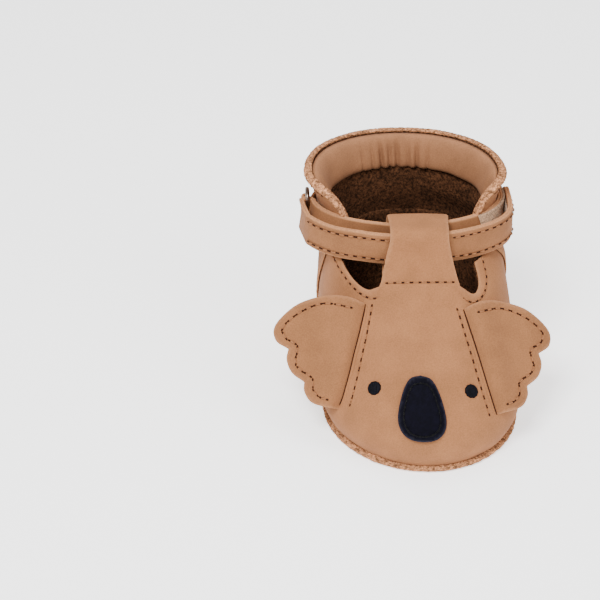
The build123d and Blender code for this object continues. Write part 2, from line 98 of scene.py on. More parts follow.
# side view lines of the quarter's front edge, the collar's rim and the heel counter, as (y, z)
QUARTER_FRONT = ((26.6, 2.6), (24, 18), (19, 34), (13.5, 46), (9.5, 56), (9.5, 62), (11, 69), (13.5, 74))
RIM = ((13.5, 74), (15.2, 75.8), (18, 76.8), (28, 77.8), (44, 78.1), (66, 77.8))
COUNTER_TOP = ((35, -1), (36.5, 20), (43, 36), (51, 44), (66, 46.5))
LAP, WING_TOP = 7.0, 55.5
# side view of the tongue's fold, as (y, z): up over the strap, back, and down behind it
TONGUE_PATH = (
    (-16.4, 51.6), (-11.5, 55.4), (-7.6, 58.6), (-6.3, 62), (-6.2, 66), (-6.1, 69.2), (-5.3, 70.7),
    (-3.4, 71.2), (4, 71.0), (6.8, 70.6), (7.8, 69.2), (8, 64), (7.6, 58), (3, 54.2), (-5, 51.4),
)
TONGUE_START = 51.0  # height where the vamp leaves the last and the tongue begins
TONGUE_MIDDLE, TONGUE_HALF, TONGUE_FADE = 1.2, 18.5, 3.5
CROWN, CROWN_HALF = 0.5, 14  # the tongue's rise across its middle
FACE_SHIFT = -3.3  # the face sits towards the inner side of the toe's middle
WRAP = 0.6  # pattern millimetres for one degree round the last


def last_rows(z):
    """The last's outline numbers at heights z, one array for each column after the height."""
    z = np.clip(np.asarray(z, float), LAST[0, 0], LAST[-1, 0])
    heights, columns = LAST[:, 0], LAST[:, 1:]
    slopes = np.gradient(columns, heights, axis=0)
    i = np.clip(np.searchsorted(heights, z, side="right") - 1, 0, len(heights) - 2)
    step = (heights[i + 1] - heights[i])[..., None]
    t = (z - heights[i])[..., None] / step
    row = (2 * t**3 - 3 * t**2 + 1) * columns[i] + (t**3 - 2 * t**2 + t) * step * slopes[i]
    row = row + (3 * t**2 - 2 * t**3) * columns[i + 1] + (t**3 - t**2) * step * slopes[i + 1]
    return np.moveaxis(row, -1, 0)


def rounded(value, fullness):
    """A sine or cosine made to give a squarer outline than an ellipse above a fullness of 2."""
    return np.copysign(np.abs(value) ** (2 / fullness), value)


def on_outline(angle, z):
    toe, heel, half_width, widest, toe_full, heel_full, shift = last_rows(z)
    c, s = np.cos(np.radians(angle)), np.sin(np.radians(angle))
    fullness, reach = np.where(s < 0, toe_full, heel_full), np.where(s < 0, widest - toe, heel - widest)
    y = widest + reach * rounded(s, fullness)
    x = half_width * rounded(c, fullness) + shift - TOE_SWING * y
    return np.stack([x, y, np.broadcast_to(np.asarray(z, float), x.shape)], axis=-1)


def unit(vectors):
    return vectors / np.maximum(np.linalg.norm(vectors, axis=-1, keepdims=True), 1e-9)


def on_last(angle, z, out=0.0):
    """Points at a distance out from the last, and the outward normals there."""
    angle, z = np.asarray(angle, float), np.asarray(z, float)
    along = on_outline(angle + 0.5, z) - on_outline(angle - 0.5, z)
    up = on_outline(angle, z + 0.3) - on_outline(angle, z - 0.3)
    normal = unit(np.cross(along, up))
    return on_outline(angle, z) + normal * np.asarray(out, float)[..., None], normal


def front_angle(x, z):
    """Angle on the toe side where the outline at height z is x from the middle of the face."""
    _, _, half_width, _, toe_full, _, _ = last_rows(z)
    share = np.minimum(1.0, np.abs(x) / half_width)
    return -np.degrees(np.arccos(np.copysign(share ** (toe_full / 2), x)))


def side_angle(y, z):
    """Angle on the outer side where the outline at height z is at y."""
    toe, heel, _, widest, toe_full, heel_full, _ = last_rows(z)
    share = (y - widest) / np.where(y < widest, widest - toe, heel - widest)
    full = np.where(y < widest, toe_full, heel_full)
    return np.degrees(np.arcsin(np.clip(np.copysign(np.abs(share) ** (full / 2), share), -1, 1)))


def travelled(path):
    """Distance from the start of a path to each of its points."""
    return np.concatenate([[0], np.cumsum(np.linalg.norm(np.diff(path, axis=0), axis=1))])


def read_off(at, stations, values):
    """Values interpolated column by column between their stations."""
    return np.stack([np.interp(at, stations, column) for column in values.T], axis=1)


def smooth(t):
    t = np.clip(t, 0, 1)
    return t * t * (3 - 2 * t)


def curve(points, count):
    """Evenly spaced points of a smooth curve through some points."""
    p = np.array(points, float)
    ends = np.vstack([2 * p[0] - p[1], p, 2 * p[-1] - p[-2]])
    t = np.linspace(0, 1, 13)[:-1, None]
    pieces = []
    for a, b, c, d in zip(ends, ends[1:], ends[2:], ends[3:]):
        pieces.append(0.5 * (2 * b + (c - a) * t + (2 * a - 5 * b + 4 * c - d) * t**2
                             + (3 * b - a - 3 * c + d) * t**3))
    dense = np.vstack([*pieces, p[-1:]])
    travel = travelled(dense)
    return read_off(np.linspace(0, travel[-1], count), travel, dense)


def waves(points, scale, seed=0.0):
    """Smooth noise from -1 to 1 at each point."""
    return np.array([noise.noise(Vector(p) / scale + Vector((seed, 0, 0))) for p in points])


# ---------- materials
class Look:
    """The nodes of one procedural material, and the kinds of wiring that the looks below are made of."""

    def __init__(self, made):
        made.use_nodes = True
        self.nodes, self.links = made.node_tree.nodes, made.node_tree.links
        self.shader = self.nodes["Principled BSDF"]

    def texture(self, scale, detail=4.0, stretch=None, rough=0.55):
        """Noise in the object's own space; scale is in features per metre."""
        source = self.nodes.new("ShaderNodeTexCoord").outputs["Object"]
        if stretch:
            mapping = self.nodes.new("ShaderNodeMapping")
            mapping.inputs["Scale"].default_value = stretch
            self.links.new(source, mapping.inputs["Vector"])
            source = mapping.outputs["Vector"]
        grain = self.nodes.new("ShaderNodeTexNoise")
        grain.inputs["Scale"].default_value = scale
        grain.inputs["Detail"].default_value = detail
        grain.inputs["Roughness"].default_value = rough
        self.links.new(source, grain.inputs["Vector"])
        return grain.outputs["Fac"]

    def tinted(self, factor, low, high, low_at=0.35, high_at=0.65):
        ramp = self.nodes.new("ShaderNodeValToRGB")
        stops = ramp.color_ramp.elements
        stops[0].position, stops[0].color = low_at, (*low, 1)
        stops[1].position, stops[1].color = high_at, (*high, 1)
        self.links.new(factor, ramp.inputs["Fac"])
        return ramp.outputs["Color"]

    def mixed(self, factor, first, second, blend="MIX"):
        """Two colours mixed; factor is a number or another node's output."""
        mix = self.nodes.new("ShaderNodeMix")
        mix.data_type, mix.blend_type = "RGBA", blend
        if isinstance(factor, float):
            mix.inputs[0].default_value = factor
        else:
            self.links.new(factor, mix.inputs[0])
        self.links.new(first, mix.inputs[6])
        self.links.new(second, mix.inputs[7])
        return mix.outputs[2]

    def bumped(self, height, strength, distance, onto=None):
        bump = self.nodes.new("ShaderNodeBump")
        bump.inputs["Strength"].default_value = strength
        bump.inputs["Distance"].default_value = distance
        self.links.new(height, bump.inputs["Height"])
        if onto:
            self.links.new(onto, bump.inputs["Normal"])
        self.links.new(bump.outputs["Normal"], self.shader.inputs["Normal"])
        return bump.outputs["Normal"]

    def painted(self, colour):
        self.links.new(colour, self.shader.inputs["Base Color"])

    def cut_edge(self):
        """How far a point of the mesh is into a cut edge."""
        attribute = self.nodes.new("ShaderNodeAttribute")
        attribute.attribute_name = "edge"
        return attribute.outputs["Fac"]


def material(name, colour, roughness, build, sheen=0.0, metallic=0.0, gloss=0.1):
    """A procedural material; build(look, colour) wires its detail."""
    made = bpy.data.materials.new(name)
    look = Look(made)
    look.shader.inputs["Base Color"].default_value = (*colour, 1)
    look.shader.inputs["Roughness"].default_value = roughness
    look.shader.inputs["Metallic"].default_value = metallic
    look.shader.inputs["Specular IOR Level"].default_value = gloss
    look.shader.inputs["Sheen Weight"].default_value = sheen
    look.shader.inputs["Sheen Roughness"].default_value = 0.5
    build(look, colour)
    return made


def shade(colour, factor):
    return tuple(min(1.0, c * factor) for c in colour)


def nubuck_look(look, colour):
    """Fine nap with soft cloudy shading, and paler, rougher cut edges."""
    clouds = look.tinted(look.texture(90, 3), shade(colour, 0.9), shade(colour, 1.07))
    nap = look.tinted(look.texture(2100, 3), shade(WHITE, 0.8), WHITE)
    cut = look.tinted(look.texture(1500, 3), shade(EDGE_TAN, 0.72), EDGE_TAN)
    look.painted(look.mixed(look.cut_edge(), look.mixed(1.0, clouds, nap, "MULTIPLY"), cut))
    broad = look.bumped(look.texture(420, 5), 0.35, 0.00022)
    look.bumped(look.texture(3800, 2), 0.35, 0.00008, broad)


def suede_look(look, colour):
    """Brushed flesh side: clumps of nap with dark gaps and pale tips."""
    clumps = look.tinted(look.texture(900, 5, rough=0.8), shade(colour, 0.3), shade(colour, 2.3), 0.4, 0.64)
    clouds = look.tinted(look.texture(140, 3), shade(WHITE, 0.7), WHITE)
    look.painted(look.mixed(1.0, clumps, clouds, "MULTIPLY"))
    look.bumped(look.texture(1100, 5, rough=0.7), 0.9, 0.0007)


def thread_look(look, colour):
    twist = look.texture(1800, 2, stretch=(1, 1, 2.5))
    look.painted(look.tinted(twist, shade(colour, 0.7), shade(colour, 1.2)))
    look.bumped(twist, 0.5, 0.0002)


def dark_leather_look(look, colour):
    clouds = look.tinted(look.texture(500, 3), shade(colour, 0.7), shade(colour, 1.3))
    cut = look.tinted(look.texture(1800, 3), shade(EDGE_NAVY, 0.6), EDGE_NAVY)
    look.painted(look.mixed(look.cut_edge(), clouds, cut))
    look.bumped(look.texture(2200, 4), 0.6, 0.0002)


def embroidery_look(look, colour):
    rows = look.texture(900, 1, stretch=(3.2, 0.35, 0.35))
    look.painted(look.tinted(rows, shade(colour, 0.5), shade(colour, 1.9)))
    look.bumped(rows, 0.8, 0.0003)


def metal_look(look, colour):
    look.painted(look.tinted(look.texture(300, 4), shade(colour, 0.55), colour))
    look.bumped(look.texture(1500, 3), 0.15, 0.0001)


def fuzz_look(look, colour):
    tips = look.texture(1700, 3, rough=0.7)
    look.painted(look.tinted(tips, shade(colour, 0.5), shade(colour, 1.4)))
    look.bumped(tips, 0.8, 0.0005)


WHITE = (1.0, 1.0, 1.0)
TAN = (0.312, 0.132, 0.055)  # colours are linear
EDGE_TAN, EDGE_NAVY = (0.46, 0.215, 0.10), (0.028, 0.027, 0.044)
nubuck = material("nubuck", TAN, 0.85, nubuck_look, sheen=0.03)
# the ears, the strap and the strap's end get this copy of the nubuck, 13% darker than the rest
darker_nubuck = material("darker_nubuck", shade(TAN, 0.87), 0.85, nubuck_look, sheen=0.03)
facing_leather = material("facing_leather", (0.30, 0.135, 0.064), 0.85, nubuck_look, sheen=0.02)
suede = material("suede", (0.066, 0.027, 0.012), 0.98, suede_look)
pale_suede = material("pale_suede", (0.39, 0.175, 0.082), 0.95, suede_look)
thread_tan = material("thread", (0.27, 0.115, 0.05), 0.7, thread_look)
# painted shade: this dark colour stands in for the shade down in the needle holes and in the ears' slits
painted_hole_shade = material("needle_hole_shade", (0.03, 0.009, 0.004), 1.0, thread_look)
dark_leather = material("dark_leather", (0.0015, 0.0013, 0.0045), 0.75, dark_leather_look, gloss=0.06)
thread_dark = material("dark_thread", (0.0004, 0.0004, 0.001), 0.55, thread_look)
embroidery = material("embroidery", (0.0012, 0.0012, 0.003), 0.6, embroidery_look, gloss=0.08)
pewter = material("pewter", (0.24, 0.18, 0.145), 0.32, metal_look, metallic=1.0)
tape = material("fastener_tape", (0.46, 0.28, 0.165), 0.9, fuzz_look, sheen=0.2)
padding = material("padding", (0.7, 0.68, 0.62), 0.95, fuzz_look)
elastic = material("elastic", (0.75, 0.72, 0.66), 0.85, thread_look)


# ---------- mesh building
def add_piece(name, points, faces, materials, body="root", face_materials=None, edge=None):
    """A mesh piece from points in millimetres, riding on a body."""
    mesh = bpy.data.meshes.new(name)
    mesh.from_pydata([tuple(p * MM) for p in np.asarray(points, float)], [], [tuple(f) for f in faces])
    for m in materials:
        mesh.materials.append(m)
    if face_materials is not None:
        mesh.polygons.foreach_set("material_index", face_materials)
    if edge is not None:
        mesh.attributes.new("edge", "FLOAT", "POINT").data.foreach_set("value", np.asarray(edge, float))
    work = bmesh.new()
    work.from_mesh(mesh)
    bmesh.ops.recalc_face_normals(work, faces=work.faces)
    for face in work.faces:
        face.smooth = True
    work.to_mesh(mesh)
    work.free()
    piece = bpy.data.objects.new(name, mesh)
    bpy.context.scene.collection.objects.link(piece)
    if body:
        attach(piece, body)
    return piece


def inside(points, outline):
    """Which points lie inside a closed outline."""
    x, y = points[:, 0:1], points[:, 1:2]
    a, b = outline, np.roll(outline, -1, axis=0)
    crosses = (a[:, 1] > y) != (b[:, 1] > y)
    rise = np.where(b[:, 1] == a[:, 1], 1e-9, b[:, 1] - a[:, 1])
    hits = crosses & (x < (b[:, 0] - a[:, 0]) * (y - a[:, 1]) / rise + a[:, 0])
    return hits.sum(axis=1) % 2 == 1


def fill(outline, spacing):
    """Triangles over a flat outline: its own points first, then an even grid inside it."""
    low, high = outline.min(axis=0), outline.max(axis=0)
    rows = np.arange(low[1], high[1], spacing * 0.866)
    columns = np.arange(low[0], high[0], spacing)
    grid = np.array([(x + (k % 2) * spacing / 2, y) for k, y in enumerate(rows) for x in columns])
    grid = grid[inside(grid, outline)]
    nearest = np.full(len(grid), 1e9)
    for point in outline:
        nearest = np.minimum(nearest, np.hypot(*(grid - point).T))
    grid = grid[nearest > spacing * 0.55]
    count = len(outline)
    borders = [(k, (k + 1) % count) for k in range(count)]
    everything = [Vector(p) for p in np.vstack([outline, grid])]
    points, _, faces, _, _, _ = delaunay_2d_cdt(everything, borders, [], 1, 1e-6)
    return np.array([tuple(p) for p in points]), [tuple(f) for f in faces], count


def closed_outline(*runs, spacing=1.0):
    """Evenly resampled closed outline from some runs of points that meet end to end."""
    points = []
    for run in runs:
        run = np.asarray(run, float)
        length = np.linalg.norm(np.diff(run, axis=0), axis=1).sum()
        count = max(2, int(length / spacing) + 1)
        points.append(curve(run, count)[:-1] if len(run) > 2 else np.linspace(run[0], run[-1], count)[:-1])
    return np.vstack(points)


LIP, RIM_EDGE = 0.15, 0.55  # how far a cut edge stands out, as a share of its leather; its tint at the faces


def shell(name, outline, place, low, high, materials, slot, spacing, body="root", roll=0.28):
    """A sheet of leather between two heights over a surface, with soft rounded cut edges.

    place(points, out) maps flat pattern points and heights to space.
    """
    points, faces, count = fill(outline, spacing)
    total, thickness = len(points), high - low
    rounding = np.zeros(total)
    rounding[:count] = roll * thickness
    top, bottom = place(points, high - rounding), place(points, low + rounding)
    ahead, behind = np.roll(outline, -1, axis=0), np.roll(outline, 1, axis=0)
    along = unit(ahead - behind)
    area = np.sum(outline[:, 0] * ahead[:, 1] - ahead[:, 0] * outline[:, 1])
    outward = np.stack([along[:, 1], -along[:, 0]], axis=1) * (1 if area > 0 else -1)
    rim = place(outline + outward * LIP * thickness, (high + low) / 2)
    all_faces = faces + [tuple(total + k for k in reversed(f)) for f in faces]
    for k in range(count):
        after = (k + 1) % count
        all_faces.append((k, 2 * total + k, 2 * total + after, after))
        all_faces.append((2 * total + k, total + k, total + after, 2 * total + after))
    edge = np.zeros(2 * total + count)
    edge[:count] = edge[total:total + count] = RIM_EDGE
    edge[2 * total:] = 1
    return add_piece(name, np.vstack([top, bottom, rim]), all_faces, materials, body, edge=edge)


def swept_faces(stations, sides):
    """Faces of a closed section swept through some stations, capped at both ends."""
    faces = []
    for k in range(stations - 1):
        here, after = k * sides, (k + 1) * sides
        faces += [(here + j, here + (j + 1) % sides, after + (j + 1) % sides, after + j)
                  for j in range(sides)]
    last = sides * (stations - 1)
    return [*faces, tuple(range(sides)), tuple(reversed(range(last, last + sides)))]


def tube(path, radius, sides):
    """Points and faces of a round tube along a path, with one radius for each point."""
    ahead = np.roll(path, -1, axis=0) - np.roll(path, 1, axis=0)
    ahead[0], ahead[-1] = path[1] - path[0], path[-1] - path[-2]
    ahead = unit(ahead)
    side = unit(np.cross(ahead, (0.13, 0.27, 0.95)))
    other = np.cross(ahead, side)
    turn = np.linspace(0, 2 * math.pi, sides, endpoint=False)
    rings = path[:, None] + radius[:, None, None] * (
        side[:, None] * np.cos(turn)[None, :, None] + other[:, None] * np.sin(turn)[None, :, None])
    return rings.reshape(-1, 3), swept_faces(len(path), sides)


# ---------- stitches
STITCH, THREAD_RADIUS = 2.1, 0.3
ARCH, DIP = 0.42, 0.2  # a stitch's rise above its ends, and how deep its ends go in
HOLE_LONG, HOLE_WIDE, HOLE_SIDES = 0.75, 0.4, 9
STITCH_JITTER = 0.12


def needle_hole_shade(centre, ahead, up):
    """A dimple that carries the painted shade of a needle hole: two rings round a raised middle, closed
    underneath.
    """
    turn = np.linspace(0, 2 * math.pi, HOLE_SIDES, endpoint=False)[:, None]
    ring = centre + (ahead * np.cos(turn) * HOLE_LONG + np.cross(ahead, up) * np.sin(turn) * HOLE_WIDE)
    points = np.vstack([ring + up * 0.02, ring * 0.55 + centre * 0.45 + up * 0.07, centre + up * 0.08,
                        centre - up * 0.15])
    n, after = HOLE_SIDES, [(j + 1) % HOLE_SIDES for j in range(HOLE_SIDES)]
    faces = [(j, after[j], n + after[j], n + j) for j in range(n)]
    faces += [(n + j, n + after[j], 2 * n) for j in range(n)]
    return points, faces + [(after[j], j, 2 * n + 1) for j in range(n)]


def stitches(name, rows, pitch, body="root", length=STITCH, looks=None, radius=THREAD_RADIUS):
    """Thread lying on a surface, dipping at each end into a needle hole.

    A row is (points, normals), and looks holds the thread's and the holes' materials; by default the holes
    are dark with painted shade.
    """
    points, faces, kinds = [], [], []

    def take(new_points, new_faces, kind):
        base = sum(len(p) for p in points)
        points.append(new_points)
        faces.extend(tuple(base + k for k in f) for f in new_faces)
        kinds.extend([kind] * len(new_faces))

    for path, normals in rows:
        travel = travelled(path)
        count = max(1, round(travel[-1] / pitch))
        for k in range(count):
            middle = (k + 0.5) * travel[-1] / count + chance.uniform(-STITCH_JITTER, STITCH_JITTER)
            at = np.clip(middle + np.linspace(-0.5, 0.5, 7) * length, 0, travel[-1])
            line, up = read_off(at, travel, path), unit(read_off(at, travel, normals))
            arch = np.sin(np.linspace(0, math.pi, 7))[:, None]
            take(*tube(line + up * (arch * ARCH - DIP), radius * (0.75 + 0.3 * arch[:, 0]), 7), 0)
            ahead = unit(line[-1] - line[0])
            for end, sense in ((0, -1), (-1, 1)):
                take(*needle_hole_shade(line[end] + ahead * sense * 0.28, ahead, up[end]), 1)
    return add_piece(name, np.vstack(points), faces, looks or [thread_tan, painted_hole_shade], body,
                     face_materials=kinds)


# ---------- the upper
SOFTNESS, SOFT_SCALE = 0.3, 13.0
LINING_SKIN = (-LEATHER - LINING, -LEATHER - 0.05)


def flat(angles, heights):
    """Pattern points for angles round the last and heights."""
    return np.stack(np.broadcast_arrays(np.asarray(angles, float) * WRAP, np.asarray(heights, float)), axis=1)


def soften(points, normals):
    """The slow unevenness of soft leather."""
    return points + normals * (waves(points, SOFT_SCALE) * SOFTNESS)[:, None]


def on_upper(points, out):
    spots, normals = on_last(points[:, 0] / WRAP, points[:, 1], out)
    return soften(spots, normals)


def face_spots(points, shift=FACE_SHIFT):
    """Points and normals on the vamp for (x from the middle of the face, z)."""
    p = np.asarray(points, float)
    spots, normals = on_last(front_angle(p[:, 0] + shift, p[:, 1]), p[:, 1])
    return soften(spots, normals), normals


def side_edge(path, side, count=40, half_turn=-180):
    """Pattern points of a side-view line given as (y, z), on the outer side (1) or the inner side (-1).

    The inner side lies a half turn away: backwards round the toe, or forwards round the heel.
    """
    p = curve(path, count)
    angles = side_angle(p[:, 0], p[:, 1])
    return flat(angles if side > 0 else half_turn - angles, p[:, 1])


RIM_LEVEL = 76.0  # height at which the rim's y is read off the last


def rim_line():
    """Pattern points of the collar's top edge, from the outer wing round the heel to the inner wing."""
    rim = np.array(RIM)
    start = side_angle(*rim[0])
    angles = np.linspace(start, 180 - start, 150)
    return flat(angles, np.interp(on_outline(angles, RIM_LEVEL)[:, 1], *rim.T))


TONGUE_LEAD = 0.6  # height above the tongue's start at which its fold's path begins
tongue_line = curve(TONGUE_PATH, 160)
tongue_travel = travelled(tongue_line)
tongue_ahead = unit(np.gradient(tongue_line, tongue_travel, axis=0))
TONGUE_LENGTH = tongue_travel[-1]


def on_vamp(points, out):
    """The vamp follows the last up to the tongue's root, and above it the tongue folds over the strap."""
    angles, heights = points[:, 0] / WRAP, points[:, 1]
    out = np.broadcast_to(np.asarray(out, float), angles.shape)
    low, normals = on_last(angles, np.minimum(heights, TONGUE_START + 4), out)
    s = np.clip(heights - TONGUE_START - TONGUE_LEAD, 0, TONGUE_LENGTH)
    y, z = read_off(s, tongue_travel, tongue_line).T
    dy, dz = read_off(s, tongue_travel, tongue_ahead).T
    x = on_outline(angles, TONGUE_START)[:, 0]
    crown = CROWN * (1 - np.clip(np.abs(x - TONGUE_MIDDLE) / CROWN_HALF, 0, 1) ** 2)
    lift = out + LEATHER / 2 + crown - CROWN / 2
    high = np.stack([x, y - dz * lift, z + dy * lift], axis=1)
    up = np.stack([0 * x, -dz, dy], axis=1)
    beside = smooth((TONGUE_HALF - np.abs(x - TONGUE_MIDDLE)) / TONGUE_FADE)
    share = (smooth((heights - TONGUE_START + 3) / 7) * beside)[:, None]
    normal = unit(normals * (1 - share) + up * share)
    return soften(low * (1 - share) + high * share, normal)


def face_flat(points):
    """Pattern points of (x, z) on the vamp; beside the tongue, widths are read at the tongue's root."""
    p = np.asarray(points, float)
    height = np.where(np.abs(p[:, 0]) < 18, np.minimum(p[:, 1], TONGUE_START), p[:, 1])
    return flat(front_angle(p[:, 0], height), p[:, 1])


# openings beside the tongue, from the quarter inwards, as (x from the middle, z)
NOTCH = {
    -1: ((27.6, WING_TOP), (27.2, 53.8), (25.8, 51.8), (23, 50.3), (19.6, 50), (16.8, 51.2), (15, 53.4)),
    1: ((23.4, WING_TOP), (23.5, 53.2), (23.2, 50.8), (21.8, 49), (19.8, 48.7), (17.4, 50.2), (15, 53.4)),
}
TONGUE_SIDE = ((14.2, 56.0), (13.4, 59.5), (12.0, 66), (10.9, 72), (10.8, 78), (11.2, 86),
               (13.4, TONGUE_START + TONGUE_LENGTH))


def tongue_flat(side):
    """Pattern points of one side of the tongue; its width is read at the tongue's root."""
    p = np.array(TONGUE_SIDE)
    return flat(front_angle(side * p[:, 0], TONGUE_START), p[:, 1])


def vamp_outline(top, bottom, tongue=True, margin=0.0):
    """Closed pattern outline of the vamp or of its lining."""
    lap_line = [(y + LAP, z) for y, z in QUARTER_FRONT if z < top] + [(QUARTER_FRONT[4][0] + LAP, top)]
    lap_line[0] = (lap_line[0][0], bottom)
    outer, inner = side_edge(lap_line, 1), side_edge(lap_line, -1)
    notch = {s: face_flat([(s * x, z - margin) for x, z in NOTCH[s]]) for s in (-1, 1)}
    wing = {s: notch[s][0] + (0, top - notch[s][0][1]) for s in (-1, 1)}
    runs = [[inner[0], outer[0]], outer, [outer[-1], wing[1]], [wing[1], notch[1][0]], notch[1]]
    if tongue:
        right, left = tongue_flat(1), tongue_flat(-1)
        runs += [[notch[1][-1], right[0]], right, [right[-1], left[-1]], left[::-1], [left[0], notch[-1][-1]]]
    else:
        runs += [[notch[1][-1], notch[-1][-1]]]
    runs += [notch[-1][::-1], [notch[-1][0], wing[-1]], [wing[-1], inner[-1]], inner[::-1]]
    return closed_outline(*runs, spacing=1.0)


vamp = shell("vamp_leather", vamp_outline(WING_TOP, 2.0), on_vamp, -LEATHER, 0.0, [nubuck], "nubuck",
             spacing=1.25)
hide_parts("vamp")
LINING_MARGIN = 0.8  # the lining is trimmed this far inside the leather's edge
lining_outline = vamp_outline(WING_TOP - LINING_MARGIN, 2.8, tongue=False, margin=LINING_MARGIN)
lining = shell("vamp_lining_suede", lining_outline, on_upper, *LINING_SKIN, [suede], "suede", spacing=2.0)
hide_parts("vamp_lining")

collar_top = rim_line()
front_outer, front_inner = (side_edge(QUARTER_FRONT, side, 60, 180) for side in (1, -1))
quarter_outline = closed_outline(
    front_outer, [front_outer[-1], collar_top[0]], collar_top, [collar_top[-1], front_inner[-1]],
    front_inner[::-1], [front_inner[0], front_outer[0]], spacing=1.1)
quarter = shell("quarter_leather", quarter_outline, on_upper, 0.02, LEATHER, [nubuck], "nubuck", spacing=1.6)
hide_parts("quarter")
quarter_lining = shell("quarter_lining_suede", quarter_outline, on_upper, -LEATHER, 0.0, [suede], "suede",
                       spacing=1.8)
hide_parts("quarter_lining")

# the raw rim, where the edges of leather and lining show round the collar and its wings
RIM_FOOT, RIM_STATIONS, RIM_SIDES = 58, 420, 12
RIM_WIDE, RIM_TALL, RIM_RAISE, RIM_ROUGH = 1.75, 0.9, 0.25, 0.12
wings = [line[line[:, 1] > RIM_FOOT] for line in (front_outer, front_inner)]
rim_path = curve(np.vstack([wings[0], collar_top[1:-1], wings[1][::-1]]), RIM_STATIONS)
spots, normals = on_last(rim_path[:, 0] / WRAP, rim_path[:, 1], 0.0)
spots = soften(spots, normals)
along = unit(np.gradient(spots, axis=0))
across = unit(np.cross(along, normals))
across = across * np.sign(across[len(across) // 2][2])
turn = np.linspace(0, 2 * math.pi, RIM_SIDES + 1)[:-1]
rough = np.array([chance.uniform(-RIM_ROUGH, RIM_ROUGH) for _ in range(RIM_STATIONS * RIM_SIDES)])
rough = rough.reshape(RIM_STATIONS, RIM_SIDES)
rim_rings = (spots[:, None] + across[:, None] * RIM_RAISE
             + normals[:, None] * (np.cos(turn)[None, :] * RIM_WIDE + rough)[:, :, None]
             + across[:, None] * (np.sin(turn)[None, :] * RIM_TALL + rough)[:, :, None])
add_piece("collar_rim", rim_rings.reshape(-1, 3), swept_faces(RIM_STATIONS, RIM_SIDES), [pale_suede])

counter = [(y, max(z, 3.2)) for y, z in COUNTER_TOP]
counter_outer = side_edge(counter, 1)
counter_inner = counter_outer * (-1, 1) + (180 * WRAP, 0)
heel_counter = shell(
    "heel_counter_suede",
    closed_outline(counter_outer, [counter_outer[-1], counter_inner[-1]], counter_inner[::-1],
                   [counter_inner[0], counter_outer[0]], spacing=1.5),
    on_upper, *LINING_SKIN, [suede], "suede", spacing=2.2)
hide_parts("heel_counter")


# ---------- collar facing
def round_band(front, profile, count, ripple):
    """A band round the back of the collar, dwindling at both ends.

    profile is a closed loop of (height, distance out), and front is the y at which the band ends.
    """
    start = side_angle(front, 70.0)
    angles = np.linspace(start, 180 - start, count)
    points, (h, out) = [], profile.T
    middle, back = h.max() - 2.5, out.max()
    for k, angle in enumerate(angles):
        end = min(k, count - 1 - k) / count
        swell = math.sqrt(min(1.0, end * 14 + 0.06))
        ring, _ = on_last(angle, middle + (h - middle) * (0.25 + 0.75 * swell),
                          back + (out - back) * swell + ripple(angle, h, out))
        points.append(ring)
    return np.vstack(points), swept_faces(count, len(profile))


# angles round the last and depths of the puckers
PUCKERS = ((70, 0.5), (78, 0.9), (84, 0.6), (91, 1.3), (96, 0.8), (102, 1.2), (109, 0.6), (117, 0.45))
HEEL_ANGLE = 92
FACING_LOW, FACING_HIGH, FACING_PUFF = 64.2, 77.2, 2.3
ELASTIC_LOW, ELASTIC_HIGH, ELASTIC_FRONT, ELASTIC_BACK = 67.2, 73.2, -2.0, -1.4


def facing_section():
    """Flat against the quarter, puffed towards the foot, pinched at both edges."""
    t, back = np.linspace(0, 1, 30), -LEATHER - 0.05
    puff = (np.clip(1 - (2 * t - 1) ** 4, 0, 1)) ** 0.5
    front = np.stack([FACING_LOW + (FACING_HIGH - FACING_LOW) * t, back - 0.5 - FACING_PUFF * puff], axis=1)
    behind = np.stack([np.linspace(FACING_HIGH, FACING_LOW, 8)[1:-1], np.full(6, back)], axis=1)
    return np.vstack([front, behind])


def elastic_ripple(angle, heights, out):
    return 0.1 * math.sin(angle * 2.1)


def gathers(angle, heights, out):
    """Puckers where the hidden elastic draws the facing in round the heel, tightest along its lower edge."""
    near = math.exp(-((angle - HEEL_ANGLE) / 17) ** 2)
    fold = sum(math.exp(-((angle - at) / 1.5) ** 2) * deep for at, deep in PUCKERS)
    inwards = (out < -1.4) * smooth((77 - heights) / 9)
    slow = 0.25 * math.sin(angle * 0.19) + near * 0.25 * math.sin(angle * 0.7 + 1)
    return inwards * (fold * 1.5 - slow)


points, faces = round_band(21.0, facing_section(), 420, gathers)
facing = add_piece("collar_facing_pad", points, faces, [facing_leather])
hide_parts("collar_facing")
elastic_section = np.array([(ELASTIC_LOW, ELASTIC_BACK), (ELASTIC_HIGH, ELASTIC_BACK),
                            (ELASTIC_HIGH, ELASTIC_FRONT), (ELASTIC_LOW, ELASTIC_FRONT)])
points, faces = round_band(33.0, elastic_section, 90, elastic_ripple)
elastic_piece = add_piece("elastic_strip", points, faces, [elastic])
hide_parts("collar_elastic")


# ---------- sole
SOLE_POINTS = 260
SOLE_REACH, SOLE_ROUGH = 1.2, 0.16
PADDING_LOW, PADDING_HIGH, INSOLE_LOW, INSOLE_HIGH = 2.65, 4.6, 4.7, 6.0


def sole_outline(out):
    """Plan of the last where it meets the sole, offset outwards."""
    angles = np.linspace(0, 360, SOLE_POINTS, endpoint=False)
    spots, normals = on_last(angles, SOLE)
    return (spots + unit(normals * (1, 1, 0)) * out)[:, :2]


def level_sheet(sag=0.0):
    """place() for a flat layer, which may sag a little here and there."""
    return lambda points, out: np.c_[points, out + waves(np.c_[points, 0 * points[:, 0]], 18.0, 4.0) * sag]


